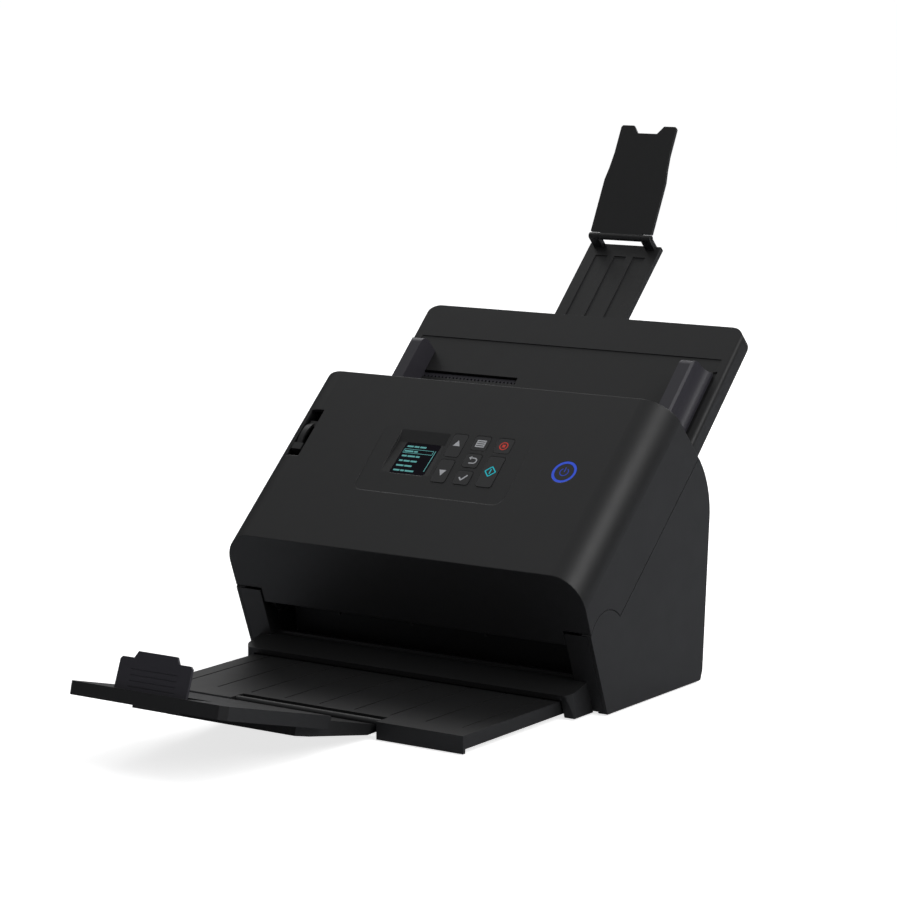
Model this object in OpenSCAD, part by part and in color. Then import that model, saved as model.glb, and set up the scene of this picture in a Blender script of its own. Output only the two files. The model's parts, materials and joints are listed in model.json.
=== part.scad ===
// Sheet fed desktop document scanner, drawn as separate named pieces.
// Frame: millimetres, +Z up, +X to the right as seen from the front, +Y to the back.
// Origin: on the desk, midway across, straight below the hinge axis of the front unit.

/* [Body] */
// Width over the side covers
body_w = 290.6; // [286:0.2:296]
// Height of the front unit's hinge axis above the desk
pivot_z = 49.5; // [48:0.5:51]
// Slope of the sheet path, and of the cover face above it
path_a = 42.5; // [42:0.1:43]
// Thickness of the front unit, from sheet path to cover face
unit_h = 58.75; // [56:0.25:60]
// Length of the cover face along the slope
face_l = 150.5; // [148:0.5:152]
// Radius of the long rounded edges beside the cover face
face_r = 22; // [16:1:26]
// Wall thickness of the plastic covers
wall = 2.5; // [2:0.1:3]

/* [Sheet path] */
// Half the width of the widest sheet
sheet_x = 108; // [104:1:109]
// Outer radius of the feed roller and of its separation roller
feed_r = 11; // [10:0.5:11.5]
// Outer radius of the registration rollers
reg_r = 9; // [8:0.5:9]
// Outer radius of the eject rollers
eject_r = 8; // [7:0.5:8]
// Outer radius of the pinch rollers
pinch_r = 6; // [5:0.5:6.5]
// Radius of the steel roller shafts
shaft_r = 3; // [2.5:0.5:3]

/* [Feed tray] */
// Slope of the feed tray
tray_a = 44.3; // [44:0.1:45]
// Half the width of the feed tray
tray_x = 134; // [132:0.5:134.5]
// Length of the feed tray along its slope
tray_l = 117; // [112:0.5:118]
// Depth of the feed tray's rim
tray_t = 12.5; // [12.2:0.1:13]
// Height of the paper guides above the tray
guide_h = 18.8; // [16:0.2:22]
// Angle that the folding sheet support leans up from the tray's slope
support_a = 18.7; // [15:0.1:22]

/* [Eject tray] */
// Half the width of the sliding eject tray
eject_x = 125; // [122:0.5:125.4]
// How far the eject tray stands out in front of the hinge axis
eject_y = 136.5; // [130:0.5:140]
// Top of the eject tray above the desk
eject_z = 12.5; // [11.5:0.5:12.5]
// Slope of the folding extension
ext_a = 14.4; // [14:0.05:16]
// Half the width of the sliding end of the extension
ext_x = 61.4; // [58:0.1:62]
// Length of the extension from its hinge to its end
ext_l = 168; // [160:1:172]

/* [Hidden] */

$fn = 64;
charcoal = "#26272a";
dark = "#1b1c1e";
steel = "#9a9c9e";
rubber = "#3a3b3d";
run = 0.03;                 // radial running clearance of every shaft and pin
slip = 0.02;                // radial gap of a sleeve fixed on a shaft
half_w = body_w / 2;
front_lean = 20.94;         // lean of the machine's front, forwards with height
front_y0 = 1.5;             // where that front meets the desk
back_y0 = 121.5;            // where the back meets the desk
foot_h = 1.2;               // gap under the machine
ear_r = 21.2;               // round ears of the side covers, about the hinge axis
seam = 0.65;                // visible gap between the front unit and the base
face_t0 = 6.5;              // lip of the cover face, along the path from the hinge
face_t1 = face_t0 + face_l;
back_arc_z = 115;           // height where the back starts to curve forwards
back_arc_y = 131.5;
back_arc_r = 60.3;
tray_y = 115.5;             // foot of the feed tray
tray_z = 153;

feed_t = 128;               // places of the roller pairs along the path
reg_t = 96;
eject_t = 24;
lower_cis_t = 53;
upper_cis_t = 74;
nip = 0.02;                 // half the gap of a closed roller pair
plate_x = 127;              // inner face of the steel side plates
plate_t = 1.5;
arm_x = 120;                // inner face of the front unit's hinge arms
arm_t = 3;

// ---------- placing ----------
module on_path(t = 0, h = 0)
    translate([0, 0, pivot_z]) rotate([path_a, 0, 0]) translate([0, t, h]) children();
module on_tray(p = 0, q = 0)
    translate([0, tray_y, tray_z]) rotate([tray_a, 0, 0]) translate([0, p, q]) children();
module across(x0, x1)       // a shape in the Y-Z plane, drawn across the machine
    translate([x0, 0, 0]) rotate([90, 0, 90]) linear_extrude(x1 - x0) children();
module rod(x0, x1, r)
    translate([x0, 0, 0]) rotate([0, 90, 0]) cylinder(h = x1 - x0, r = r);
module block(x, y, z)       // a box from three [low, high] pairs
    translate([x[0], y[0], z[0]]) cube([x[1] - x[0], y[1] - y[0], z[1] - z[0]]);
module both() {
    children();
    mirror([1, 0, 0]) children();
}
module tube(x0, x1, r, bore) difference() {
    rod(x0, x1, r);
    rod(x0 - 1, x1 + 1, bore);
}
module round_box(w, l, h, r) {   // upright box with round corners, centred on its foot
    translate([-w / 2 + r, -l / 2, 0]) cube([w - 2 * r, l, h]);
    translate([-w / 2, -l / 2 + r, 0]) cube([w, l - 2 * r, h]);
    for (x = [-1, 1], y = [-1, 1])
        translate([x * (w / 2 - r), y * (l / 2 - r), 0]) cylinder(h = h, r = r);
}

// ---------- base ----------
module side_outline(inset = 0) intersection() {   // outline of the base in the Y-Z plane
    translate([front_y0 + inset / cos(front_lean), 0]) rotate(front_lean)
        translate([0, -60]) square([260, 300]);
    union() {
        difference() {
            polygon(concat(
                [[-60, foot_h + inset], [back_y0 - inset, foot_h + inset],
                 [back_y0 + 2.6 - inset, foot_h + 7]],
                [for (a = [0 : 3 : 54])
                    [back_arc_y - back_arc_r + (back_arc_r - inset) * cos(a),
                     back_arc_z + (back_arc_r - inset) * sin(a)]],
                [[-60, 200]]));
            translate([0, pivot_z]) rotate(path_a) translate([-200, -inset]) square([500, 300]);
        }
        translate([0, pivot_z]) circle(r = ear_r - inset);
    }
}
screw_x = 132;
screw_y = [20, 104];
screw_r = 1.5;
module side_cover() color(charcoal) difference() {
    union() {
        across(half_w - wall, half_w) side_outline();
        across(138, half_w - wall) difference() {
            side_outline();
            side_outline(wall);
            translate([-1, 0]) front_bar(2, column_top + 0.4, wall + 1.3);   // room for the column
        }
        for (y = screw_y)                                              // screw tabs
            block([screw_x - 4.5, half_w - wall], [y - 5, y + 5], [foot_h + 2.05, 9]);
    }
    for (y = screw_y) translate([screw_x, y, 0]) cylinder(h = 12, r = screw_r + slip);
}
module rear_cover() color(charcoal) difference() {
    across(-137.6, 137.6) difference() {
        intersection() {
            side_outline();
            translate([back_y0 - 12, 4.6]) square([40, 137]);
        }
        side_outline(wall);
    }
    translate([0, 128, 0]) block([-101, -87], [-9, 9], [27, 39]);      // power jack
    translate([0, 128, 0]) block([-77, -61], [-9, 9], [26, 40]);       // square data port
    translate([0, 128, 0]) block([-51, -35], [-9, 9], [26, 41]);       // network port
    for (x = [-3 : 3], z = [62 : 9 : 98])                              // cooling slots
        translate([60 + x * 9, 128, z]) block([-3.2, 3.2], [-9, 9], [-1.4, 1.4]);
}
module bottom_plate() color(dark) difference() {
    block([-137.6, 137.6], [4, 119], [foot_h + 0.2, foot_h + 2]);
    for (x = [-screw_x, screw_x], y = screw_y) translate([x, y, 0]) cylinder(h = 5, r = 1.6);
    for (x = [40 : 8 : 96]) both() block([x - 1.5, x + 1.5], [40, 84], [0, 5]);
}
module rubber_feet() color(rubber)
    for (x = [-118, 118], y = [13, 110])
        translate([x, y, 0]) cylinder(h = foot_h + 0.2, r = 7);
module front_bar(z0, z1, deep) {   // a strip along the leaning front, in the Y-Z plane
    lean = tan(front_lean);
    polygon([[front_y0 - z0 * lean, z0], [front_y0 - z0 * lean + deep, z0],
             [front_y0 - z1 * lean + deep, z1], [front_y0 - z1 * lean, z1]]);
}
column_top = 56.4;
column_x = half_w - wall - 0.2;
block_x = 134;                             // outer side of the shelf's end blocks
block_r = 8.2;                             // rounding of their outer corners
module exit_frame() color(charcoal) {
    both() {
        difference() {
            across(124.6, column_x) front_bar(2.3, column_top, wall);
            block([124, block_x - 0.6], [-30, 30], [0, 16.5]);
        }
        across(124.6, 126.4) front_bar(16.5, column_top, 13);
        across(126.4, column_x) front_bar(column_top - 2, column_top, 8);
        intersection() {                                               // end blocks of the shelf
            across(126.2, block_x) polygon(
                [[-5.8, 23.2], [-27, 17], [-21.5, foot_h], [1.5, foot_h], [-4.3, 16.4],
                 [-4.6, 23.2]]);
            translate([block_x - block_r, block_r - 27, -1]) linear_extrude(30) {
                translate([-20, 0]) square([block_r + 21, 30]);
                translate([-20, -20]) square([20, 50]);
                circle(r = block_r + 0.3);
            }
        }
    }
    across(-126.2, 126.2) difference() {                               // exit shelf
        polygon([[-1, 23.2], [-5.8, 23.2], [-27, 17], [-26.2, eject_z + 0.9], [-1, eject_z + 0.9]]);
        polygon([[-3, 21.2], [-6, 21.2], [-24.9, 15.6], [-24.8, eject_z + 0.8], [-3, eject_z + 0.8]]);
    }
    for (x = [-100 : 25 : 100])                                        // ribs under the shelf
        across(x - 0.8, x + 0.8)
            polygon([[-2.5, 21.7], [-6, 21.7], [-25.3, 15.9], [-25.2, 14], [-2.5, 14]]);
    across(-124.6, 124.6)                                              // ridge behind the shelf
        polygon([[-1, 13.6], [0.8, 13.6], [0.8, 25.5], [-1, 25]]);
}
module plate_outline() difference() {
    union() {
        polygon([[8, 13.9], [118, 13.9], [122, 60], [122, 127], [107.5, 144.8],
                 [12, 57.1], [-7.5, 50], [-6.5, 40]]);
        translate([0, pivot_z]) circle(r = 9);
    }
    translate([0, pivot_z]) rotate(path_a)
        for (s = [[feed_t, -feed_r], [reg_t, -reg_r], [eject_t, -eject_r]])
            translate(s) circle(r = 5 + slip);
    translate([0, pivot_z]) circle(r = shaft_r + slip);
    for (c = [[35, 32], [62, 60], [58, 28]]) translate(c) circle(r = 7);
}
module chassis_frame() color(steel) {
    difference() {
        union() {
            block([-plate_x, plate_x], [9, 114], [14, 15.5]);          // floor
            both() across(plate_x, plate_x + plate_t) plate_outline();
        }
        motor_place() rod(plate_x - 1, plate_x + 3, 11);
        for (x = [-40, 40]) translate([x, 60, 13]) cylinder(h = 4, r = 9);
    }
    mirror([1, 0, 0]) idler_place() rod(plate_x + plate_t, 137, shaft_r - 1);   // idler's stud
    both() on_path(80.5, -5.2) rod(110.5, plate_x, 1.2);               // pins for the latch
}
flag_t = 145;
flag_h = -7;
module lower_guide_plate() color(dark) difference() {
    union() {
        on_path() block([-119, 119], [12, 150], [-3, -1]);
        across(-119, 119) polygon([[9, 56.2], [10.6, 54.4], [17, 22], [15, 22]]);   // exit chute
        on_path() for (x = [-104 : 16 : 104])
            block([x - 0.6, x + 0.6], [106, 149], [-1.1, -0.3]);
        on_path() for (x = [38.4, 50.1])                               // ears of the sheet flag
            block([x, x + 1.5], [flag_t - 4, flag_t + 4], [flag_h - 4, -2]);
        on_path() both() block([119, 126.8], [98, 104], [-3, -1]);
        on_path() both() block([119, 126.8], [34, 40], [-3, -1]);
    }
    on_path() {
        block([-27, 27], [feed_t - 12, feed_t + 12], [-9, 3]);
        for (x = [-75, -25, 25, 75])
            for (t = [reg_t, eject_t]) block([x - 13, x + 13], [t - 11, t + 11], [-9, 3]);
        block([-117, 117], [lower_cis_t - 10.5, lower_cis_t + 10.5], [-9, 3]);
        block([40, 50], [138, 147], [-9, 3]);                          // sheet flag
        both() block([110.8, 116.6], [76, 96], [-9, 3]);               // latch hooks
    }
    on_path(flag_t, flag_h) rod(38, 52, 2 + run);
}
module roller_rings(xs, w, r, bore) for (x = xs) tube(x - w / 2, x + w / 2, r, bore);
module feed_roller() color(rubber)
    on_path(feed_t, -feed_r) roller_rings([-13, 13], 20, feed_r - nip, shaft_r + slip);
module feed_shaft() color(steel) on_path(feed_t, -feed_r) rod(-137, 130, shaft_r);
module registration_rollers() color(rubber)
    on_path(reg_t, -reg_r) roller_rings([-75, -25, 25, 75], 22, reg_r - nip, shaft_r + slip);
module registration_shaft() color(steel) on_path(reg_t, -reg_r) rod(-137, 137.4, shaft_r);
module eject_rollers() color(rubber)
    on_path(eject_t, -eject_r) roller_rings([-75, -25, 25, 75], 22, eject_r - nip, shaft_r + slip);
module eject_shaft() color(steel) on_path(eject_t, -eject_r) rod(-130, 137.4, shaft_r);
module shaft_bushes() color("ivory")
    for (s = [[feed_t, -feed_r], [reg_t, -reg_r], [eject_t, -eject_r]])
        on_path(s[0], s[1]) both() difference() {
            union() {
                rod(plate_x - 1.2, plate_x - slip, 6.2);
                rod(plate_x - slip, plate_x + plate_t + 0.6, 5);
            }
            rod(plate_x - 3, plate_x + 5, shaft_r + run);
        }
module lower_image_sensor() color(dark) on_path(lower_cis_t, 0) difference() {
    block([-115, 115], [-9.5, 9.5], [-16, -1.7]);
    block([-111, 111], [-4, 4], [-12, 0]);
}
module lower_sensor_glass() color([0.7, 0.85, 0.9, 0.5])
    on_path(lower_cis_t, 0) block([-114, 114], [-8.5, 8.5], [-1.68, -0.5]);

// ---------- drive ----------
motor_y = 93;
motor_z = 44;
motor_pulley_r = 4;
reg_pulley_r = 7;
eject_pulley_r = 6;
belt_t = 1.2;
belt_gap = 0.08;             // keeps the belt's flats clear of its pulleys
module motor_place() translate([0, motor_y, motor_z]) children();
function path_point(t, h) = [t * cos(path_a) - h * sin(path_a),
                             pivot_z + t * sin(path_a) + h * cos(path_a)];
reg_c = path_point(reg_t, -reg_r);
feed_c = path_point(feed_t, -feed_r);
eject_c = path_point(eject_t, -eject_r);
function loop_points(c1, r1, c2, r2) = let (    // two arcs joined by their outer tangents
    dir = atan2(c2[1] - c1[1], c2[0] - c1[0]),
    a = acos((r1 - r2) / norm(c2 - c1)),
    n = 24)
    concat([for (i = [0 : n]) let (g = dir + a + (360 - 2 * a) * i / n) c1 + r1 * [cos(g), sin(g)]],
           [for (i = [0 : n]) let (g = dir - a + 2 * a * i / n) c2 + r2 * [cos(g), sin(g)]]);
module belt(x0, x1, c1, r1, c2, r2) across(x0, x1) difference() {
    polygon(loop_points(c1, r1 + belt_gap + belt_t, c2, r2 + belt_gap + belt_t));
    polygon(loop_points(c1, r1 + belt_gap, c2, r2 + belt_gap));
}
module drive_motor() color(steel) motor_place() difference() {
    union() {
        block([88, 120], [-21, 21], [-21, 21]);
        rod(119, plate_x + plate_t, 10.8);
    }
    rod(118, 140, 4);
}
module motor_pulley() color("silver") motor_place() {
    rod(120.5, 130, 2.5);
    rod(129.4, 134, motor_pulley_r);
    for (x = [129.4, 133.4]) rod(x, x + 0.8, motor_pulley_r + 2);
}
module drive_belts() color("black") {
    belt(130.4, 133.2, [motor_y, motor_z], motor_pulley_r, reg_c, reg_pulley_r);
    belt(134.4, 137.2, reg_c, reg_pulley_r, eject_c, eject_pulley_r);
}
module registration_pulleys() color("ivory") on_path(reg_t, -reg_r) difference() {
    union() {
        rod(129.6, 137.4, reg_pulley_r);
        rod(133.4, 134.2, reg_pulley_r + 1.5);
    }
    rod(120, 150, shaft_r + slip);
}
module eject_pulley() color("ivory")
    on_path(eject_t, -eject_r) tube(134, 137.4, eject_pulley_r, shaft_r + slip);

// Spur gears with involute teeth. phase is the angle of a tooth's middle.
press_a = 25;               // pressure angle
gear_play = 0.12;           // tooth thinning at the pitch circle
function inv(rho, rb) = rho <= rb ? 0 : tan(acos(rb / rho)) * 180 / PI - acos(rb / rho);
function gear_points(teeth, m) = let (
    r = teeth * m / 2, rb = r * cos(press_a), root = r - 1.2 * m, tip = r + 0.9 * m,
    half = 90 / teeth - gear_play / r * 90 / PI + inv(r, rb),
    rows = [for (i = [0 : 5]) root + (tip - root) * i / 5])
    [for (k = [0 : teeth - 1]) each concat(
        [for (rho = rows) let (a = k * 360 / teeth - half + inv(rho, rb))
            rho * [cos(a), sin(a)]],
        [for (i = [5 : -1 : 0]) let (rho = rows[i], a = k * 360 / teeth + half - inv(rho, rb))
            rho * [cos(a), sin(a)]])];
function mesh_phase(phase, teeth, next_teeth, dir) =
    dir + 180 - (teeth / next_teeth) * (phase - dir) + 180 / next_teeth;
reg_teeth = 16;
idler_teeth = 16;
feed_teeth = 20;
gear_d = norm(feed_c - reg_c);
gear_dir = atan2(feed_c[1] - reg_c[1], feed_c[0] - reg_c[0]);
side_a = (reg_teeth + idler_teeth) / 2;          // centre distances, module 1
side_b = (idler_teeth + feed_teeth) / 2;
idler_dir = gear_dir - acos((side_a * side_a + gear_d * gear_d - side_b * side_b)
    / (2 * side_a * gear_d));
idler_c = reg_c + side_a * [cos(idler_dir), sin(idler_dir)];
idler_to_feed = atan2(feed_c[1] - idler_c[1], feed_c[0] - idler_c[0]);
idler_phase = mesh_phase(0, reg_teeth, idler_teeth, idler_dir);
feed_phase = mesh_phase(idler_phase, idler_teeth, feed_teeth, idler_to_feed);
module idler_place() translate([0, idler_c[0], idler_c[1]]) children();
module spur(c, teeth, phase, bore, x0, x1) across(x0, x1) translate(c) difference() {
    rotate(phase) polygon(gear_points(teeth, 1));
    circle(r = bore);
}
module registration_gear() color("ivory")
    spur(reg_c, reg_teeth, 0, shaft_r + slip, -136, -131);
module idler_gear() color("ivory")
    spur(idler_c, idler_teeth, idler_phase, shaft_r - 1 + run, -136, -131);
module feed_gear() color("ivory")
    spur(feed_c, feed_teeth, feed_phase, shaft_r + slip, -136, -131);

// ---------- electronics in the base ----------
module main_circuit_board() color("darkgreen") {
    block([-112, 78], [117.2, 118.8], [20, 96]);
    block([-12, 12], [113.5, 117.2], [44, 68]);
    block([30, 46], [115, 117.2], [34, 50]);
    for (x = [-40, -48, -56]) translate([x, 117.2, 76]) rotate([90, 0, 0]) cylinder(h = 9, r = 3.5);
}
module rear_ports() color("silver") {
    difference() {
        block([-100, -88], [118.8, 125.5], [28, 38]);
        translate([-94, 126, 33]) rotate([90, 0, 0]) cylinder(h = 6, r = 3);
    }
    difference() {
        block([-75, -63], [118.8, 125.5], [27.5, 38.5]);
        block([-73, -65], [120, 126], [29.5, 36.5]);
    }
    difference() {
        block([-50.5, -35.5], [118.8, 125.5], [27, 40]);
        block([-49, -37], [120, 126], [28.5, 38]);
    }
}
module document_sensor_flag() color("black") on_path(flag_t, flag_h) {
    rod(38.4, 51.6, 2);
    block([43.5, 46.5], [-1.2, 1.2], [0, 10.5]);
    block([41, 43], [-1.5, 1.5], [-9, 0]);
}
module case_screws() color("silver")
    for (x = [-screw_x, screw_x], y = screw_y)
        translate([x, y, 0]) {
            translate([0, 0, 0.3]) cylinder(h = 1.08, r = 2.8);
            translate([0, 0, 1.2]) cylinder(h = 7, r = screw_r);
        }

// ---------- front unit ----------
front_a = 90 + front_lean - path_a;        // angle of the front wall in the sheet path frame
ear_gap = ear_r + 0.5;
lip_low = 9.75;                            // lower edge of the front wall
function front_t(h, e = 0) = face_t0 + (e + cos(front_a) * (h - unit_h)) / sin(front_a);
module along(t0, t1) translate([0, t1, 0]) rotate([90, 0, 0]) linear_extrude(t1 - t0) children();
module unit_section(e = 0) {               // X-h cross-section with rounded upper corners
    translate([-half_w + e, -40]) square([2 * (half_w - e), 40 + unit_h - face_r]);
    translate([-half_w + face_r, -40]) square([2 * (half_w - face_r), 40 + unit_h - e]);
    for (x = [-1, 1])
        translate([x * (half_w - face_r), unit_h - face_r]) circle(r = face_r - e);
}
module unit_shell_solid(e, low_front, low_back) intersection() {
    across(-half_w, half_w) polygon(
        [[front_t(low_front, e), low_front], [front_t(unit_h - e, e), unit_h - e],
         [face_t1 - e, unit_h - e], [face_t1 - e, low_back], [16, low_back], [16, low_front]]);
    along(-60, 200) unit_section(e);
}
// Control panel places: [left, right, near edge, far edge] on the face
key_up = [-3.9, 7.7, 85.8, 105.4];
key_down = [-3.9, 7.7, 63.4, 83];
key_menu = [14, 26.4, 93.4, 105.6];
key_back = [14, 26.4, 78.5, 90.1];
key_ok = [14, 26.4, 63.6, 75.2];
key_stop = [32.5, 45.2, 93, 105.6];
key_start = [32.5, 45.2, 63.7, 89.7];
panel_keys = [key_up, key_down, key_menu, key_back, key_ok, key_stop, key_start];
screen = [-39.8, -11, 67.3, 95.5];
well = [-47.5, -7, 62.9, 105];             // sloping well round the screen
well_deep = 2;                             // its depth at the screen's far edge
panel = [-61.9, 59.9, 50, 108];            // shallow panel round the screen and keys
panel_deep = 0.4;                          // its depth at the near edge
well_a = atan(well_deep / (screen[3] - well[2]));
power_x = 94.4;
power_s = 83.3;
power_r = 9;
lever_x = [-131.8, -120];
lever_t = [79, 121];
module on_panel(k, grow, h0, h1, r)        // rounded block over a place on the face
    on_path() translate([(k[0] + k[1]) / 2, face_t0 + (k[2] + k[3]) / 2, h0])
        round_box(k[1] - k[0] + 2 * grow, k[3] - k[2] + 2 * grow, h1 - h0, r);
module on_screen(grow, h0, h1) on_path()   // rounded block over the screen, square to its slope
    translate([(screen[0] + screen[1]) / 2, face_t0 + well[2], unit_h]) rotate([-well_a, 0, 0])
        translate([0, (screen[2] + screen[3]) / 2 - well[2], h0])
            round_box(screen[1] - screen[0] + 2 * grow, screen[3] - screen[2] + 2 * grow,
                      h1 - h0, 1.5);
module at_power() on_path() translate([power_x, face_t0 + power_s, 0]) children();
module front_cover() color(charcoal) difference() {
    union() {
        on_path() difference() {
            unit_shell_solid(0, lip_low, seam);
            unit_shell_solid(wall, -30, -30);
        }
        on_path() for (x = [-60, 0, 60]) intersection() {              // ribs under the lip
            block([x - 0.8, x + 0.8], [-16, -6], [7, 30]);
            across(-half_w, half_w) polygon([[front_t(7, wall), 7], [front_t(30, wall), 30],
                [front_t(30, 0.5), 30], [front_t(7, 0.5), 7]]);
        }
        on_path() for (x = [-48, 103], t = [70, 112])                  // posts of the panel board
            translate([x, t, board_h1]) cylinder(h = unit_h - 1 - board_h1, r = 3);
        on_path() block([well[0] - 1.5, well[1] + 0.6], [face_t0 + well[2] - 1, face_t0 + well[3] + 1],
            [unit_h - wall - 1.5, unit_h - wall + 0.1]);               // backing of the well
    }
    on_path() translate([(panel[0] + panel[1]) / 2, face_t0 + panel[3], unit_h])
        rotate([atan(panel_deep / (panel[3] - panel[2])), 0, 0])
            translate([0, (panel[2] - panel[3]) / 2, 0])
                round_box(panel[1] - panel[0], panel[3] - panel[2], 5, 7);
    on_path() across(well[0], well[1]) polygon([for (p = [[well[2], 0], [screen[3], -well_deep],
        [well[3], 0], [well[3], 3], [well[2], 3]]) [face_t0 + p[0], unit_h + p[1]]]);
    on_path() both() rod(123.5, half_w + 1, ear_gap);
    on_path() block([-127, 127], [face_t1 - 9, face_t1 + 9], [-9, 14]);
    on_path() block(lever_x, lever_t, [unit_h - 9, unit_h + 9]);
    for (k = panel_keys) on_panel(k, 0.25, unit_h - 9, unit_h + 9, 2.25);
    on_screen(slip, -9, 9);
    at_power() translate([0, 0, unit_h - 9]) cylinder(h = 18, r = power_r + slip);
}
board_h = 47;                              // control panel board
board_h1 = 48.6;
post_h = unit_h - wall - 0.05;
pinch_h = 6;
lever_axis_t = 84;
lever_axis_h = 43;
module arm_outline() difference() {
    union() {
        polygon([[-2, 3], [8, 1.2], [150, 1.2], [150, 30], [90, 34], [90, 43], [78, 43],
                 [78, 34], [60, 36], [10, 24]]);
        circle(r = 9);
        translate([lever_axis_t, lever_axis_h]) circle(r = 6);
    }
    circle(r = shaft_r + run);
    translate([lever_axis_t, lever_axis_h]) circle(r = shaft_r + run);
    for (s = [[feed_t, feed_r], [reg_t, pinch_h], [eject_t, pinch_h]])
        translate(s) circle(r = 2 + run);
}
module upper_frame() color(dark) on_path() difference() {
    union() {
        block([-121, 121], [14, 150], [1.2, 3.2]);
        both() across(arm_x, arm_x + arm_t) arm_outline();
        for (x = [-100, 100], t = [30, 140])
            translate([x, t, 3]) cylinder(h = post_h - 3, r = 3.5);
        for (t = [46, 112]) block([-121, 121], [t, t + 2], [3, 14]);   // stiffening ribs
    }
    for (x = [-75, -25, 25, 75], t = [reg_t, eject_t])
        block([x - 13, x + 13], [t - 8, t + 8], [-9, 9]);
    block([-27, 27], [feed_t - 12, feed_t + 12], [-9, 20]);
    block([-112, 112], [64, 84], [-9, 9]);
    both() block([110.8, 116.6], [76, 97], [-9, 9]);
    block([42, 48], [137, 151], [-9, 9]);
}
module lcd_screen() color("black") {
    on_screen(0, -2.4, -0.1);
    on_screen(-1.5, -5.4, -2.3);
}
module panel_circuit_board() color("darkgreen")
    on_path() block([-52, 108], [66, 116], [board_h, board_h1]);
module key(k) color(charcoal) {
    on_panel(k, 0, unit_h - 8.7, unit_h, 2);
    on_panel(k, 1.1, unit_h - 4.4, unit_h - 2.7, 2.6);
}
module power_button() color(charcoal) at_power() translate([0, 0, unit_h - 8.7]) {
    cylinder(h = 8.7, r = 7);
    translate([0, 0, 4.2]) cylinder(h = 1.6, r = 8);
}
module power_light_ring() color("dodgerblue") at_power() difference() {
    translate([0, 0, unit_h - 2.8]) cylinder(h = 2.8, r = power_r);
    translate([0, 0, unit_h - 4]) cylinder(h = 9, r = 7.2);
}
module separation_roller() color(rubber) on_path(feed_t, feed_r) {
    rod(-arm_x - arm_t, arm_x + arm_t, 2);
    roller_rings([-13, 13], 20, feed_r - nip, 1.5);
}
module pinch_set(t) color(rubber) on_path(t, pinch_h) {
    rod(-arm_x - arm_t, arm_x + arm_t, 2);
    roller_rings([-75, -25, 25, 75], 22, pinch_r - nip, 1.5);
}
module upper_image_sensor() color(dark) on_path(upper_cis_t, 0) difference() {
    block([-110, 110], [-9, 9], [1.7, 16]);
    block([-106, 106], [-4, 4], [0, 12]);
}
module upper_sensor_glass() color([0.7, 0.85, 0.9, 0.5])
    on_path(upper_cis_t, 0) block([-109, 109], [-8.5, 8.5], [0.5, 1.68]);
module open_lever() color(charcoal) on_path() {
    x0 = lever_x[0] + 2.2;
    x1 = lever_x[1] - 1.8;
    arch = [[87, 55], [92, 56.6], [97, 57.8], [102, 57.9], [107, 56.9], [111, 55], [113.5, 53]];
    translate([0, lever_axis_t, lever_axis_h]) rod(x0, arm_x + arm_t, shaft_r);
    across(x0, -arm_x - arm_t - 0.6)
        polygon([[81.5, lever_axis_h], [86.5, lever_axis_h], [90.5, 52], [85, 52]]);
    block([x0, x1], [85, 90.5], [51, 58.6]);                           // finger pad
    across(x0, x0 + 4.2) polygon(                                      // arched strip behind it
        concat(arch, [for (i = [6 : -1 : 0]) arch[i] - [0, 1.6]]));
    block([x0, x1], [108.5, 113.5], [51.2, 54.6]);                     // crossbar
    both() block([112, 115], [82.5, 85.5], [-3.5, lever_axis_h]);      // hooks
    both() block([112, 115], [79, 83], [-3.5, -0.5]);
}
module unit_hinge_pins() color(steel) on_path() both() {
    rod(arm_x - 0.6, plate_x + plate_t + 2, shaft_r);
    rod(plate_x + plate_t, plate_x + plate_t + 2, shaft_r + 2);
}

// ---------- feed tray ----------
tray_r = 11;                               // far corners of the tray
tray_edge_r = 3;                           // its long upper edges
pinion_teeth = 16;
pinion_p = 45;
guide_in = sheet_x;                        // inner faces of the guides
guide_p = [6, 74.3];                       // their ends
guide_q = -0.3;                            // their undersides, in the sunken floor
rack_q = [-5.7, -2.9];
slot_x = [28, 113];
hinge_p = 190;                             // sheet support hinge
hinge_q = 2.5;
module rounded_end(w, l0, l1, r) {         // plate outline with two rounded far corners
    translate([-w, l0]) square([2 * w, l1 - l0 - r]);
    translate([-w + r, l0]) square([2 * (w - r), l1 - l0]);
    for (x = [-1, 1]) translate([x * (w - r), l1 - r]) circle(r = r);
}
module tray_section() {                    // X-q cross-section with rounded upper edges
    translate([-tray_x, -tray_t - 1]) square([2 * tray_x, tray_t + 1 - tray_edge_r]);
    translate([-tray_x + tray_edge_r, -tray_t - 1])
        square([2 * (tray_x - tray_edge_r), tray_t + 1]);
    for (x = [-1, 1]) translate([x * (tray_x - tray_edge_r), -tray_edge_r]) circle(r = tray_edge_r);
}
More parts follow.
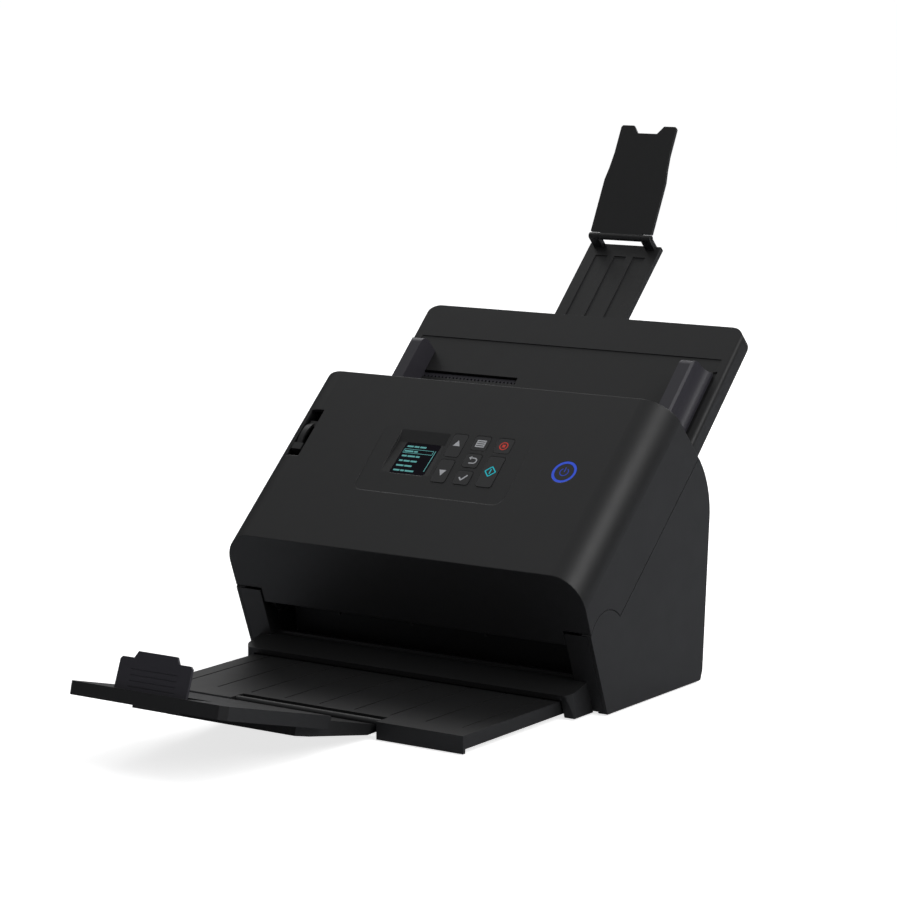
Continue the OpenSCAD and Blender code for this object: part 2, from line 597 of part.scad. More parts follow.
module feed_tray() color(charcoal) on_tray() {
    difference() {
        intersection() {
            translate([0, 0, -tray_t]) linear_extrude(tray_t)
                rounded_end(tray_x, -1, tray_l, tray_r);
            along(-2, tray_l + 1) tray_section();
        }
        translate([0, 0, -tray_t - 1]) linear_extrude(tray_t + 1 - wall)
            rounded_end(tray_x - wall, 1.5, tray_l - wall, tray_r - wall);
        block([-126, 126], [2, 88], [-0.6, 5]);                        // sunken floor
        block([-30.4, 30.4], [1.5, tray_l + 9], [-11.6, -7]);          // mouth of the extension
        block(slot_x, [33, 39], [-5, 5]);                              // guide slots
        block([-slot_x[1], -slot_x[0]], [51, 57], [-5, 5]);
        both() block([124, 127.5], [8, 77], [-1.6, 5]);                // groove beside the guides
    }
    difference() {                                                     // extension channel
        block([-32.4, 32.4], [0, tray_l - 1], [-tray_t, -6.1]);
        block([-30.4, 30.4], [1.5, tray_l + 9], [-11.6, -7]);
    }
    translate([0, pinion_p, -6.2]) cylinder(h = 5, r = 2.5);           // pinion post
    both() block([plate_x + plate_t + slip, tray_x], [-14, 3], [-tray_t, -6]);   // lugs
    both() for (p = [14, 100]) translate([110, p, -tray_t + 1.6]) cylinder(h = tray_t - 3, r = 3.5);
}
module feed_tray_back() color(charcoal) on_tray() difference() {
    translate([0, 0, -tray_t]) linear_extrude(1.5)
        rounded_end(tray_x - wall - 0.2, 3.2, tray_l - wall - 0.2, tray_r - wall - 0.2);
    block([-32.6, 32.6], [0, tray_l], [-tray_t - 1, 0]);
    for (p = [22 : 6 : 94]) both() block([44, 96], [p, p + 1.2], [-tray_t - 1, -tray_t + 0.5]);
}
module rack_teeth(x0, x1) for (i = [ceil(x0 / PI) : floor(x1 / PI)]) {
    half = PI / 4 - gear_play;
    slope = tan(press_a);
    translate([i * PI, 0]) polygon([[-half - 1.3 * slope, -1.3], [half + 1.3 * slope, -1.3],
        [half - 0.9 * slope, 0.9], [-half + 0.9 * slope, 0.9]]);
}
module guide_outline()                     // wall sweeping out to a flange, seen along p
    polygon(concat([[0, guide_q], [0, guide_h], [9.2, guide_h], [10.6, guide_h - 1.6]],
        [for (a = [0 : 15 : 90]) [17 - 6.4 * cos(a), 2.2 + (guide_h - 6.2) * (1 - sin(a))]],
        [[17, guide_q]]));
module guide(far_rack) {                   // right guide; far_rack puts its rack behind the pinion
    intersection() {
        difference() {
            translate([guide_in, 0, 0]) along(guide_p[0], guide_p[1]) guide_outline();
            block([guide_in + 1.6, guide_in + 9.2], [guide_p[0] + 2, guide_p[1] - 2],
                  [-1, guide_h - 1.8]);
        }
        across(guide_in - 1, guide_in + 18) translate([guide_p[1] - 7, 0]) {   // round far corner
            translate([-80, -1]) square([80, guide_h + 2]);
            translate([-1, -1]) square([9, guide_h - 6]);
            translate([0, guide_h - 7]) circle(r = 7);
        }
    }
    translate([0, pinion_p, rack_q[0]]) mirror([0, far_rack, 0]) {
        block([guide_in + 1.2, guide_in + 4], [-11.4, -6.6], [0, 6 - rack_q[0]]);
        linear_extrude(rack_q[1] - rack_q[0]) translate([0, -pinion_teeth / 2]) {
            translate([-5, -3.4]) square([guide_in + 7, 2.2]);
            rack_teeth(-4, guide_in);
        }
    }
}
module right_paper_guide() color("#34333a") on_tray() guide(0);
module left_paper_guide() color("#34333a") on_tray() mirror([1, 0, 0]) guide(1);
module guide_pinion() color("ivory") on_tray(pinion_p, rack_q[0]) difference() {
    linear_extrude(rack_q[1] - rack_q[0])
        rotate(180 / pinion_teeth) polygon(gear_points(pinion_teeth, 1));
    translate([0, 0, -1]) cylinder(h = 9, r = 2.5 + run);
}
module feed_extension() color(charcoal) on_tray() difference() {
    union() {
        block([-30, 30], [75, 191], [-11.2, -7.2]);
        both() block([18, 26], [hinge_p - 2.5, hinge_p + 1.5], [-11, hinge_q]);
        both() translate([0, hinge_p, hinge_q]) rod(18, 26, 2.5);
    }
    translate([0, hinge_p, hinge_q]) rod(-30, 30, 1.25);
    for (x = [-16, 0, 16]) block([x - 5, x + 5], [82, 180], [-7.9, -6]);
}
module sheet_support() color(charcoal)
    on_tray(hinge_p, hinge_q) rotate([support_a, 0, 0]) {
        rod(-17.7, 17.7, 2.5);
        rod(-25.6, 25.6, 1.22);
        block([-17.7, 17.7], [0, 5], [-1.2, 1.2]);
        translate([0, 0, -1.2]) linear_extrude(2.4)
            polygon([[-26, 3.2], [26, 3.2], [26, 44], [24.5, 54], [23.5, 66], [23.5, 86.5],
                     [22.3, 88], [12.8, 88], [8.2, 82], [-8.2, 82], [-12.8, 88], [-22.3, 88],
                     [-23.5, 86.5], [-23.5, 66], [-24.5, 54], [-26, 44]]);
        for (x = [-22, -7.5, 7.5, 22]) block([x - 0.6, x + 0.6], [6, 80], [-2.4, -1]);   // ribs
    }

// ---------- eject tray ----------
fold_y = -130;                             // hinge of the eject extension
fold_z = 10;
notch_x = 58.5;
inner_x = 54.2;                            // half width of the extension inside its sliding end
module on_ext(u = 0, w = 0)                // u runs out along the extension, w is its normal
    translate([0, fold_y, fold_z]) rotate([-ext_a, 0, 0]) translate([0, -u, w]) children();
module eject_tray() color(charcoal) difference() {
    union() {
        block([-eject_x, eject_x], [-eject_y, 20], [eject_z - wall, eject_z]);
        both() block([eject_x - 3.4, eject_x], [-eject_y, 20], [3.6, eject_z]);
        both() block([notch_x, eject_x], [-eject_y, -eject_y + wall], [0.8, eject_z]);
        both() block([notch_x, notch_x + 3], [-eject_y, -120], [3.6, eject_z]);
        block([-notch_x, notch_x], [-123.5, -121], [3.6, eject_z]);
        both() for (x = [28, 88]) block([x, x + 2], [-118, 20], [5, eject_z - 1]);
    }
    block([-notch_x, notch_x], [-150, -123.5], [-1, 20]);
    translate([0, fold_y, fold_z]) rod(-90, 90, 1.25);
    for (x = [-112, -84, -56, -28, 0, 28, 56, 84, 112])                // shallow grooves
        block([x - 0.6, x + 0.6], [-118, 16], [eject_z - 0.5, eject_z + 1]);
}
module eject_extension() color(dark) on_ext() {
    difference() {
        intersection() {
            across(-inner_x, inner_x)
                polygon([[4, -1.3], [-80, -1.3], [-80, -13], [-8, -8.5], [3, -5.4]]);
            translate([0, 0, -20]) linear_extrude(30)
                polygon([[-inner_x, 10], [inner_x, 10], [inner_x, -70], [50, -81], [-50, -81],
                         [-inner_x, -70]]);
        }
        block([-51.8, 51.8], [-66, -4], [-30, -3.4]);
        block([-48, 48], [-77.4, -60], [-30, -3.4]);
    }
    rod(-notch_x + 0.4, notch_x - 0.4, 2.5);
    rod(-notch_x - 2.4, notch_x + 2.4, 1.22);
}
module eject_extension_end() color(charcoal) on_ext() difference() {
    union() {
        block([-ext_x, ext_x], [-ext_l, -60], [-1, 2]);
        both() block([ext_x - 2.5, ext_x], [-ext_l, -62], [-6.5, 1]);
        both() block([inner_x + 0.6, inner_x + 2.2], [-150, -62], [-5, 1]);
        block([-ext_x, ext_x], [-ext_l, -ext_l + 3], [-6.5, 2]);
        block([-8, 27], [-ext_l, -ext_l + 3], [-8, 0]);
        block([-30.6, 30.6], [-ext_l + 1, -136.1], [-2.8, 1]);
    }
    block([-28.6, 28.6], [-164.5, -136.8], [-1.6, 5]);                 // pocket of the stopper
    translate([0, -stopper_u, stopper_w]) rod(-31.5, 31.5, 1.22);
    both() translate([ext_x, -ext_l, 0]) rotate(45) block([-3, 3], [-3, 3], [-20, 20]);
}
stopper_u = 162.6;
stopper_w = 0.5;
stopper_a = 69.3 + ext_a;                  // its slope above the plane of the extension
module eject_stopper() color(charcoal)
    on_ext(stopper_u, stopper_w) rotate([stopper_a, 0, 0]) {
        rod(-31.2, 31.2, 1.2);
        difference() {
            translate([0, 0, -0.9]) linear_extrude(1.8)
                polygon([[-28, 0], [28, 0], [28, 19.6], [26.4, 21.2], [17.5, 21.2], [15, 25.5],
                         [-15, 25.5], [-17.5, 21.2], [-26.4, 21.2], [-28, 19.6]]);
            for (i = [0 : 3]) block([-18, 18], [3 + 3.6 * i, 3.7 + 3.6 * i], [0.6, 2]);
        }
    }

// ---------- one line for each piece ----------
mirror([1, 0, 0]) side_cover();  // left_side_cover
side_cover();  // right_side_cover
rear_cover();
bottom_plate();
exit_frame();
rubber_feet();
chassis_frame();
lower_guide_plate();
feed_roller();
feed_shaft();
registration_rollers();
registration_shaft();
eject_rollers();
eject_shaft();
shaft_bushes();
lower_image_sensor();
lower_sensor_glass();
drive_motor();
motor_pulley();
drive_belts();
registration_pulleys();
eject_pulley();
registration_gear();
idler_gear();
feed_gear();
main_circuit_board();
rear_ports();
document_sensor_flag();
case_screws();
front_cover();
upper_frame();
lcd_screen();
panel_circuit_board();
key(key_up);  // up_button
key(key_down);  // down_button
key(key_menu);  // menu_button
key(key_back);  // back_button
key(key_ok);  // ok_button
key(key_stop);  // stop_button
key(key_start);  // start_button
power_button();
power_light_ring();
separation_roller();
pinch_set(reg_t);  // registration_pinch_rollers
pinch_set(eject_t);  // eject_pinch_rollers
upper_image_sensor();
upper_sensor_glass();
open_lever();
unit_hinge_pins();
feed_tray();
feed_tray_back();
left_paper_guide();
right_paper_guide();
guide_pinion();
feed_extension();
sheet_support();
eject_tray();
eject_extension();
eject_extension_end();
eject_stopper();
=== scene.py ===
# Looks for the sheet fed document scanner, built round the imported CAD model.
import json
import math

import bmesh
import bpy
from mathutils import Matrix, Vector


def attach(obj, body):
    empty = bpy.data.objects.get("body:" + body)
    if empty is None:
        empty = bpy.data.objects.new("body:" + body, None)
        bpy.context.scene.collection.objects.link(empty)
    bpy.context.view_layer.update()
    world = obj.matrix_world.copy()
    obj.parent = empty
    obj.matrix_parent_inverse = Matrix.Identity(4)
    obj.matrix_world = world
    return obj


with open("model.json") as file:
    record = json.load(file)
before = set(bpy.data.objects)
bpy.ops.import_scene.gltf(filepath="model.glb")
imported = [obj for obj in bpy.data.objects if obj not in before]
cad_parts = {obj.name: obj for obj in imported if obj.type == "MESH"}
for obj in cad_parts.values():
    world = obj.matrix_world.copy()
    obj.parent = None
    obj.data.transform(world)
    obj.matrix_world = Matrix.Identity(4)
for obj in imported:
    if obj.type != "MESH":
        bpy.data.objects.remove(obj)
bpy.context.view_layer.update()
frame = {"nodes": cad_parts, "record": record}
nodes = frame["nodes"]

MM = 0.001
PATH_ANGLE = math.radians(42.5)      # slope of the cover face
FACE_H = 58.75                       # cover face above the sheet path, mm
FACE_T0 = 6.5                        # near edge of the cover face along the path, mm
PIVOT_Z = 49.5                       # hinge axis above the desk, mm


# ---------- materials ----------

def new_material(name):
    material = bpy.data.materials.new(name)
    material.use_nodes = True
    return material, material.node_tree.nodes, material.node_tree.links


def object_coords(tree_nodes):
    return tree_nodes.new("ShaderNodeTexCoord").outputs["Object"]


def noise(tree_nodes, links, coords, scale, detail=2.0):
    texture = tree_nodes.new("ShaderNodeTexNoise")
    texture.inputs["Scale"].default_value = scale
    texture.inputs["Detail"].default_value = detail
    links.new(coords, texture.inputs["Vector"])
    return texture.outputs["Fac"]


def ramp(tree_nodes, links, value, low, high):
    span = tree_nodes.new("ShaderNodeMapRange")
    span.inputs["To Min"].default_value = low
    span.inputs["To Max"].default_value = high
    links.new(value, span.inputs["Value"])
    return span.outputs["Result"]


def tint(tree_nodes, links, value, dark, light):
    mix = tree_nodes.new("ShaderNodeMix")
    mix.data_type = "RGBA"
    mix.inputs["A"].default_value = (*dark, 1)
    mix.inputs["B"].default_value = (*light, 1)
    links.new(value, mix.inputs["Factor"])
    return mix.outputs["Result"]


def plastic(name, color, roughness=0.5, grain=1800, bump=0.25, spread=0.12, specular=0.5,
            soft_edge=0.0):
    """Moulded plastic: a fine spark-eroded grain, slow colour drift and uneven sheen."""
    material, tree_nodes, links = new_material(name)
    shader = tree_nodes["Principled BSDF"]
    coords = object_coords(tree_nodes)
    drift = noise(tree_nodes, links, coords, 9, 3)
    dark = [c * (1 - spread) for c in color]
    light = [c * (1 + spread) for c in color]
    links.new(tint(tree_nodes, links, drift, dark, light), shader.inputs["Base Color"])
    sheen = noise(tree_nodes, links, coords, 60, 4)
    links.new(ramp(tree_nodes, links, sheen, roughness - 0.05, roughness + 0.05),
              shader.inputs["Roughness"])
    shader.inputs["Specular IOR Level"].default_value = specular
    grain_fac = noise(tree_nodes, links, coords, grain, 2)
    height = tree_nodes.new("ShaderNodeBump")
    height.inputs["Strength"].default_value = bump
    height.inputs["Distance"].default_value = 0.06 * MM
    links.new(grain_fac, height.inputs["Height"])
    if soft_edge:
        edge = tree_nodes.new("ShaderNodeBevel")
        edge.inputs["Radius"].default_value = soft_edge * MM
        links.new(edge.outputs["Normal"], height.inputs["Normal"])
    links.new(height.outputs["Normal"], shader.inputs["Normal"])
    return material


def metal(name, color, roughness, brushed_along=None):
    """Sheet or turned metal, with streaks along one axis where it is brushed."""
    material, tree_nodes, links = new_material(name)
    shader = tree_nodes["Principled BSDF"]
    shader.inputs["Metallic"].default_value = 1
    coords = object_coords(tree_nodes)
    stretch = tree_nodes.new("ShaderNodeMapping")
    scale = [900, 900, 900]
    if brushed_along is not None:
        scale[brushed_along] = 30
    stretch.inputs["Scale"].default_value = scale
    links.new(coords, stretch.inputs["Vector"])
    streaks = noise(tree_nodes, links, stretch.outputs["Vector"], 1.0, 3)
    links.new(tint(tree_nodes, links, streaks, [c * 0.88 for c in color], color),
              shader.inputs["Base Color"])
    links.new(ramp(tree_nodes, links, streaks, roughness - 0.07, roughness + 0.07),
              shader.inputs["Roughness"])
    return material


def rubber_material(name, color):
    """Rubber: coarser grain and hardly any sheen."""
    return plastic(name, color, roughness=0.78, grain=2600, bump=0.4, spread=0.2, specular=0.25)


def glass_material(name, color):
    """Clear glass with faint smudges."""
    material, tree_nodes, links = new_material(name)
    shader = tree_nodes["Principled BSDF"]
    coords = object_coords(tree_nodes)
    smudge = noise(tree_nodes, links, coords, 25, 4)
    links.new(tint(tree_nodes, links, smudge, color, [min(1, c * 1.05) for c in color]),
              shader.inputs["Base Color"])
    links.new(ramp(tree_nodes, links, smudge, 0.02, 0.1), shader.inputs["Roughness"])
    shader.inputs["Transmission Weight"].default_value = 0.9
    return material


def lit(name, color, strength):
    """A printed or back-lit mark, a little uneven in brightness."""
    material, tree_nodes, links = new_material(name)
    shader = tree_nodes["Principled BSDF"]
    coords = object_coords(tree_nodes)
    uneven = noise(tree_nodes, links, coords, 300, 2)
    shade = tint(tree_nodes, links, uneven, [c * 0.8 for c in color], color)
    links.new(shade, shader.inputs["Base Color"])
    links.new(shade, shader.inputs["Emission Color"])
    shader.inputs["Emission Strength"].default_value = strength
    shader.inputs["Roughness"].default_value = 0.5
    return material


def board_material(name, color):
    """Circuit board lacquer with faint tracks."""
    material, tree_nodes, links = new_material(name)
    shader = tree_nodes["Principled BSDF"]
    coords = object_coords(tree_nodes)
    cells = tree_nodes.new("ShaderNodeTexBrick")
    cells.inputs["Scale"].default_value = 260
    cells.inputs["Color1"].default_value = (*color, 1)
    cells.inputs["Color2"].default_value = (*[c * 1.5 for c in color], 1)
    cells.inputs["Mortar"].default_value = (*[c * 2.2 for c in color], 1)
    cells.inputs["Mortar Size"].default_value = 0.02
    links.new(coords, cells.inputs["Vector"])
    links.new(cells.outputs["Color"], shader.inputs["Base Color"])
    shader.inputs["Roughness"].default_value = 0.3
    return material


CHARCOAL = [0.0150, 0.0150, 0.0155]
MATERIALS = {
    "shell_plastic": plastic("shell_plastic", CHARCOAL, roughness=0.47),
    "guide_plastic": plastic("guide_plastic", [0.038, 0.036, 0.045], roughness=0.45, bump=0.1),
    "key_plastic": plastic("key_plastic", [0.024, 0.024, 0.025], roughness=0.42, bump=0.12),
    "inner_plastic": plastic("inner_plastic", [0.010, 0.010, 0.011], roughness=0.55),
    "nylon": plastic("nylon", [0.72, 0.69, 0.60], roughness=0.4, bump=0.08, spread=0.05),
    "roller_rubber": rubber_material("roller_rubber", [0.05, 0.05, 0.055]),
    "foot_rubber": rubber_material("foot_rubber", [0.02, 0.02, 0.02]),
    "steel": metal("steel", [0.58, 0.59, 0.60], 0.34, brushed_along=0),
    "plated_metal": metal("plated_metal", [0.72, 0.72, 0.73], 0.22),
    "sensor_glass": glass_material("sensor_glass", [0.8, 0.92, 0.95]),
    "screen_plastic": plastic("screen_plastic", [0.004, 0.002, 0.007], roughness=0.2, bump=0.02,
                              specular=0.08),
    "light_ring": lit("light_ring", [0.025, 0.07, 0.55], 0.6),
    "circuit_board": board_material("circuit_board", [0.01, 0.07, 0.03]),
}
MARK_WHITE = lit("mark_white", [0.62, 0.63, 0.66], 0.05)
MARK_RED = lit("mark_red", [0.75, 0.05, 0.03], 0.15)
MARK_CYAN = lit("mark_cyan", [0.01, 0.62, 0.72], 0.25)
MARK_BLUE = lit("mark_blue", [0.02, 0.05, 0.42], 0.45)
ROW_CYAN = lit("row_cyan", [0.10, 0.36, 0.35], 0.5)

ROUNDED = {                          # edge rounding of the shown plastic pieces, mm
    "left_side_cover": 0.5, "right_side_cover": 0.5, "rear_cover": 0.4,
    "exit_frame": 0.35, "feed_tray": 0.6, "feed_extension": 0.4, "sheet_support": 0.5,
    "eject_tray": 0.4, "eject_extension": 0.5, "eject_extension_end": 0.5,
    "eject_stopper": 0.35, "left_paper_guide": 0.5, "right_paper_guide": 0.5,
    "open_lever": 0.4, "lower_guide_plate": 0.2, "rubber_feet": 0.3,
}
for subpart in frame["record"]["subparts"]:
    node = nodes[subpart["node"]]
    node.data.materials.clear()
    node.data.materials.append(MATERIALS[subpart["material_slot"]])
# The front cover keeps its CAD shading; its material softens its edges instead of a bevel.
nodes["front_cover"].data.materials[0] = plastic(
    "cover_plastic", CHARCOAL, roughness=0.47, soft_edge=0.9)

FLAT_ANGLE = math.radians(0.2)       # faces closer than this count as one plane
FLAT_AREA = 1200 * MM * MM           # a plane larger than this is shaded flat
WELD = 1e-6                          # vertices closer than this are joined, m


def shade_faces(data):
    """Flat shading on the large flat faces, smooth shading on everything else."""
    mesh = bmesh.new()
    mesh.from_mesh(data)
    place = mesh.faces.layers.int.new("place")
    for index, face in enumerate(mesh.faces):
        face[place] = index
    smooth = [True] * len(data.polygons)
    bmesh.ops.remove_doubles(mesh, verts=mesh.verts, dist=WELD)
    seen = set()
    for seed in mesh.faces:
        if seed in seen:
            continue
        region = [seed]
        seen.add(seed)
        for face in region:
            for other in (f for edge in face.edges for f in edge.link_faces):
                if other not in seen and seed.normal.angle(other.normal, 0) < FLAT_ANGLE:
                    seen.add(other)
                    region.append(other)
        if sum(face.calc_area() for face in region) > FLAT_AREA:
            for face in region:
                smooth[face[place]] = False
    mesh.free()
    data.polygons.foreach_set("use_smooth", smooth)
    for name in ("custom_normal", "sharp_edge"):
        if name in data.attributes:
            data.attributes.remove(data.attributes[name])


def round_edges(node, width):
    """Rounds the sharp edges; the shading modifier lets the large faces rule the normals."""
    shade_faces(node.data)
    weld = node.modifiers.new("weld", "WELD")
    weld.merge_threshold = WELD
    joined = node.modifiers.new("joined", "DECIMATE")
    joined.decimate_type = "DISSOLVE"
    joined.angle_limit = math.radians(0.3)
    bevel = node.modifiers.new("bevel", "BEVEL")
    bevel.width = width
    bevel.segments = 2
    bevel.limit_method = "ANGLE"
    bevel.angle_limit = math.radians(40)
    bevel.face_strength_mode = "FSTR_ALL"
    shading = node.modifiers.new("shading", "WEIGHTED_NORMAL")
    shading.keep_sharp = False
    shading.use_face_influence = True


for name, width in ROUNDED.items():
    round_edges(nodes[name], width * MM)


# ---------- printed and lit marks ----------

def face_point(x, s, lift=0.0):
    """A point on the cover face: x across, s up the slope from its near edge, lift above it."""
    t, h = s + FACE_T0, FACE_H + lift
    y = t * math.cos(PATH_ANGLE) - h * math.sin(PATH_ANGLE)
    z = PIVOT_Z + t * math.sin(PATH_ANGLE) + h * math.cos(PATH_ANGLE)
    return Vector((x, y, z)) * MM


def flat_piece(name, outlines, body, material, lift=0.03, depth=0.12, place=face_point):
    """Thin raised shapes on the cover face; each outline is a list of (x, s) in millimetres."""
    mesh = bmesh.new()
    for outline in outlines:
        top = [mesh.verts.new(place(x, s, lift)) for x, s in outline]
        low = [mesh.verts.new(place(x, s, lift - depth)) for x, s in outline]
        mesh.faces.new(top)
        mesh.faces.new(low[::-1])
        for i in range(len(top)):
            j = (i + 1) % len(top)
            mesh.faces.new([top[i], low[i], low[j], top[j]])
    bmesh.ops.recalc_face_normals(mesh, faces=mesh.faces)
    data = bpy.data.meshes.new(name)
    mesh.to_mesh(data)
    mesh.free()
    piece = bpy.data.objects.new(name, data)
    bpy.context.scene.collection.objects.link(piece)
    data.materials.append(material)
    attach(piece, body)
    return piece


def bar(x0, x1, s0, s1):
    return [(x0, s0), (x1, s0), (x1, s1), (x0, s1)]


def stroke(points, width):
    """Short straight bars along a line of points."""
    shapes = []
    for (x0, s0), (x1, s1) in zip(points, points[1:]):
        length = math.hypot(x1 - x0, s1 - s0)
        nx, ns = -(s1 - s0) / length * width / 2, (x1 - x0) / length * width / 2
        shapes.append([(x0 + nx, s0 + ns), (x0 - nx, s0 - ns), (x1 - nx, s1 - ns), (x1 + nx, s1 + ns)])
    return shapes


def arc(cx, cs, radius, start, end, steps=20):
    angles = [math.radians(start + (end - start) * i / steps) for i in range(steps + 1)]
    return [(cx + radius * math.cos(a), cs + radius * math.sin(a)) for a in angles]


def moved(outlines, middle):
    """The same outlines with their (0, 0) put at the given middle."""
    return [[(x + middle[0], s + middle[1]) for x, s in outline] for outline in outlines]


# Each mark is drawn about (0, 0) and then moved to the middle of its key.

def triangle(half_width, base, tip):
    return [[(-half_width, base), (half_width, base), (0, tip)]]


def list_sign(half_width=3.0, low=-3.3, pitch=1.7, line=1.0, side=0.6):
    """Four lines between two upright edges."""
    lines = [bar(-half_width, half_width, low + pitch * i, low + pitch * i + line)
             for i in range(4)]
    top = low + 3 * pitch + line
    return lines + [bar(-half_width - side, -half_width, low, top),
                    bar(half_width, half_width + side, low, top)]


def back_arrow(bend=(1.4, 0.1), radius=2.2, head=1.7, width=0.9):
    """A line that turns back on itself, with an arrow head."""
    top, low = bend[1] + radius, bend[1] - radius
    line = [(-2.2, top)] + arc(*bend, radius, 90, -90) + [(-1.8, low)]
    return stroke(line, width) + [[(-3.2, top), (-1.2, top - head), (-1.2, top + head)]]


def tick():
    return stroke([(-2.8, 0.2), (-0.8, -2.2), (3.0, 2.4)], 1.1)


def stop_sign(radius=3.0, half=1.2):
    return stroke(arc(0, 0, radius, 0, 360, 32), 0.8) + [bar(-half, half, -half, half)]


def start_sign(radius=4.2, half=2.0, width=0.8):
    diamond = arc(0, 0, radius, 90, -270, 4)
    return stroke(diamond, width) + stroke([(0, half), (0, -half)], width)


def power_sign(radius=3.1, width=0.7, height=4.0):
    return stroke(arc(0, 0, radius, 125, 415, 28), width) + [bar(-width / 2, width / 2, 0, height)]


KEY_MIDDLES = {                      # on the cover face: x across, s up the slope, mm
    "up": (1.9, 95.6),
    "down": (1.9, 73.2),
    "menu": (20.2, 99.5),
    "back": (20.2, 84.3),
    "ok": (20.2, 69.4),
    "stop": (38.8, 99.3),
    "start": (38.8, 77.0),
    "power": (94.4, 83.3),
}
for piece, key, shapes, material in [
    ("up_mark", "up", triangle(2.8, base=-0.4, tip=4.6), MARK_WHITE),
    ("down_mark", "down", triangle(2.8, base=0.8, tip=-4.2), MARK_WHITE),
    ("menu_mark", "menu", list_sign(), MARK_WHITE),
    ("back_mark", "back", back_arrow(), MARK_WHITE),
    ("confirm_mark", "ok", tick(), MARK_WHITE),
    ("stop_mark", "stop", stop_sign(), MARK_RED),
    ("start_mark", "start", start_sign(), MARK_CYAN),
    ("power_mark", "power", power_sign(), MARK_BLUE),
]:
    flat_piece(piece, moved(shapes, KEY_MIDDLES[key]), key + "_key", material)

# The screen lies on the slope of its well, which starts at WELL_S on the cover face.
WELL_S = 62.9
WELL_FALL = 2 / 32.6                 # depth gained per mm up the slope
ROW_START = -37.6                    # left end of the rows
ROW_TOP = 91.5                       # lower edge of the highest row
ROW_PITCH = 4.4
ROW_HEIGHT = 1.4
ROW_GAP = 0.8                        # between the bars of one row
ROW_BARS = [(5, 4, 5), (7, 3), (4, 6, 3), (3, 5, 5), (6, 6), (5, 3, 7)]   # their lengths


def screen_point(x, s, lift):
    return face_point(x, s, lift - (s - WELL_S) * WELL_FALL)


def screen_shapes():
    """Plain broken rows, a box round the second row and a scroll bar."""
    shapes = []
    for i, lengths in enumerate(ROW_BARS):
        low = ROW_TOP - ROW_PITCH * i
        start = ROW_START
        for length in lengths:
            shapes.append(bar(start, start + length, low, low + ROW_HEIGHT))
            start += length + ROW_GAP
    row = ROW_TOP - ROW_PITCH
    left, right, low, top = ROW_START - 0.8, -14.4, row - 0.9, row + ROW_HEIGHT + 1.2
    box = [(left, top), (right, top), (right, low), (left, low), (left, top)]
    scroll_bar = bar(-13.2, -12.7, 71.0, 90.0)
    return shapes + stroke(box, 0.35) + [scroll_bar]


flat_piece("screen_rows", screen_shapes(), "front_unit", ROW_CYAN, lift=-0.03, depth=0.06,
           place=screen_point)

# ---------- floor, light and camera ----------
TARGET = Vector((-7.47, 39.85, 158.37)) * MM     # the camera and the lamps aim here


def camera_switch(tree_nodes, links, seen, unseen):
    """Joins two shaders: one for what the camera sees, one for everything else."""
    switch = tree_nodes.new("ShaderNodeMixShader")
    links.new(tree_nodes.new("ShaderNodeLightPath").outputs["Is Camera Ray"],
              switch.inputs["Fac"])
    links.new(unseen, switch.inputs[1])
    links.new(seen, switch.inputs[2])
    return switch.outputs["Shader"]


def studio_world(backdrop, low, high, horizon=0.25, zenith=0.95):
    """White behind the object, while the object itself is lit from above by a soft grey dome.

    The dome's strength is low up to the height horizon and rises to high at the height zenith;
    a height here is the sine of the angle above level.
    """
    world = bpy.data.worlds.new("studio")
    bpy.context.scene.world = world
    world.use_nodes = True
    tree_nodes, links = world.node_tree.nodes, world.node_tree.links
    plain = tree_nodes["Background"]
    plain.inputs["Color"].default_value = (1, 1, 1, 1)
    plain.inputs["Strength"].default_value = backdrop
    dome = tree_nodes.new("ShaderNodeBackground")
    dome.inputs["Color"].default_value = (0.98, 0.99, 1, 1)
    split = tree_nodes.new("ShaderNodeSeparateXYZ")
    links.new(tree_nodes.new("ShaderNodeTexCoord").outputs["Generated"], split.inputs["Vector"])
    span = tree_nodes.new("ShaderNodeMapRange")
    span.interpolation_type = "SMOOTHSTEP"
    span.inputs["From Min"].default_value = horizon
    span.inputs["From Max"].default_value = zenith
    span.inputs["To Min"].default_value = low
    span.inputs["To Max"].default_value = high
    links.new(split.outputs["Z"], span.inputs["Value"])
    links.new(span.outputs["Result"], dome.inputs["Strength"])
    switch = camera_switch(tree_nodes, links, plain.outputs["Background"],
                           dome.outputs["Background"])
    links.new(switch, tree_nodes["World Output"].inputs["Surface"])


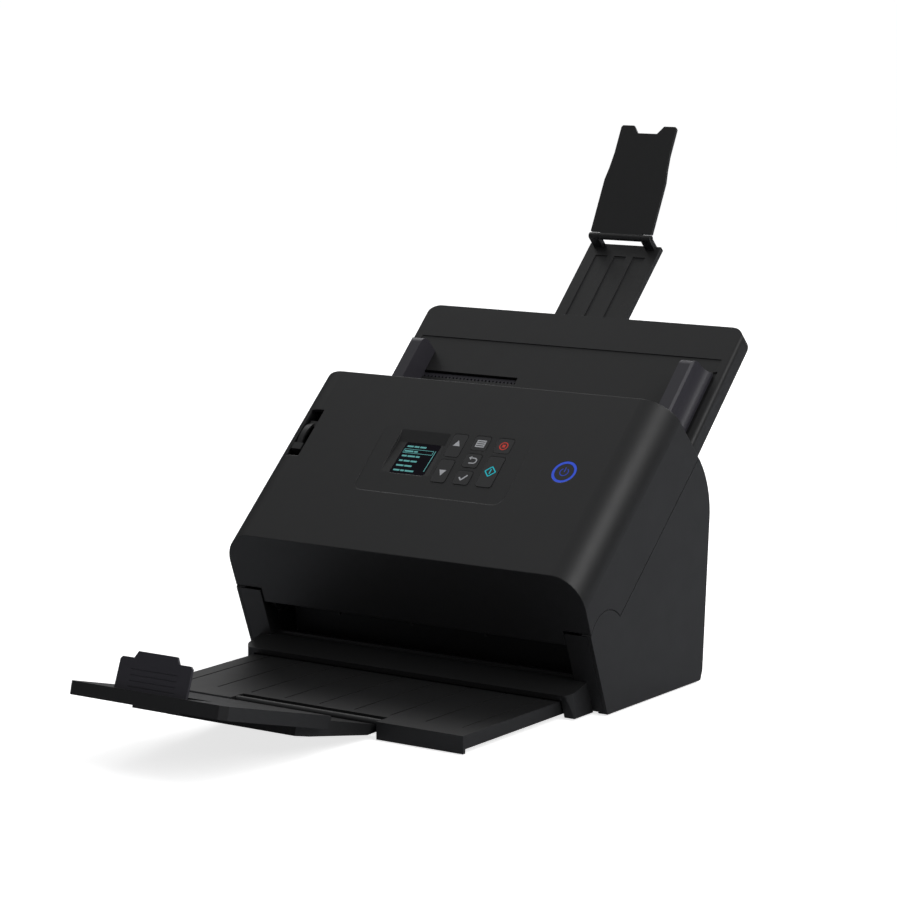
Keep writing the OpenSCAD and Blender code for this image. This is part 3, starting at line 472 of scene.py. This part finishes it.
def studio_floor(glow):
    """A pale floor that merges into the backdrop, takes a soft shadow and is clear from below."""
    bpy.ops.mesh.primitive_plane_add(size=200, location=(0, 0, 0))
    floor = bpy.context.object
    floor.name = "floor"
    material, tree_nodes, links = new_material("floor_material")
    shader = tree_nodes["Principled BSDF"]
    shader.inputs["Base Color"].default_value = (0.9, 0.9, 0.9, 1)
    shader.inputs["Roughness"].default_value = 1
    shader.inputs["Specular IOR Level"].default_value = 0
    shader.inputs["Emission Color"].default_value = (1, 1, 1, 1)
    shader.inputs["Emission Strength"].default_value = glow
    dull = tree_nodes.new("ShaderNodeBsdfDiffuse")
    dull.inputs["Color"].default_value = (0.47, 0.48, 0.51, 1)
    switch = camera_switch(tree_nodes, links, shader.outputs["BSDF"], dull.outputs["BSDF"])
    one_sided = tree_nodes.new("ShaderNodeMixShader")
    links.new(tree_nodes.new("ShaderNodeNewGeometry").outputs["Backfacing"],
              one_sided.inputs["Fac"])
    links.new(switch, one_sided.inputs[1])
    links.new(tree_nodes.new("ShaderNodeBsdfTransparent").outputs["BSDF"], one_sided.inputs[2])
    links.new(one_sided.outputs["Shader"], tree_nodes["Material Output"].inputs["Surface"])
    floor.data.materials.append(material)


def area_light(name, location, size, power_w):
    """A soft box aimed at the object; location and size are in metres."""
    light = bpy.data.lights.new(name, "AREA")
    light.shape = "RECTANGLE"
    light.size, light.size_y = size
    light.energy = power_w
    lamp = bpy.data.objects.new(name, light)
    lamp.location = location
    lamp.rotation_euler = (TARGET - Vector(location)).to_track_quat("-Z", "Y").to_euler()
    bpy.context.scene.collection.objects.link(lamp)


studio_world(backdrop=1.0, low=0.07, high=0.41)
studio_floor(glow=0.76)
area_light("side_light", (1.6, -0.3, 1.35), (1.0, 1.4), 16)
area_light("back_light", (0.5, 1.9, 1.5), (1.2, 1.0), 20)
area_light("left_light", (-1.3, 1.3, 1.6), (1.2, 1.0), 8)

AZIMUTH, ELEVATION = math.radians(34.56), math.radians(8.94)
DISTANCE = 2156.46 * MM
camera_data = bpy.data.cameras.new("camera")
camera_data.sensor_width = 36
camera_data.lens = 127.0
camera = bpy.data.objects.new("camera", camera_data)
bpy.context.scene.collection.objects.link(camera)
camera.location = TARGET + DISTANCE * Vector((
    math.sin(AZIMUTH) * math.cos(ELEVATION),
    -math.cos(AZIMUTH) * math.cos(ELEVATION),
    math.sin(ELEVATION)))
camera.rotation_euler = (TARGET - camera.location).to_track_quat("-Z", "Y").to_euler()
bpy.context.scene.camera = camera
bpy.context.scene.view_settings.view_transform = "Standard"
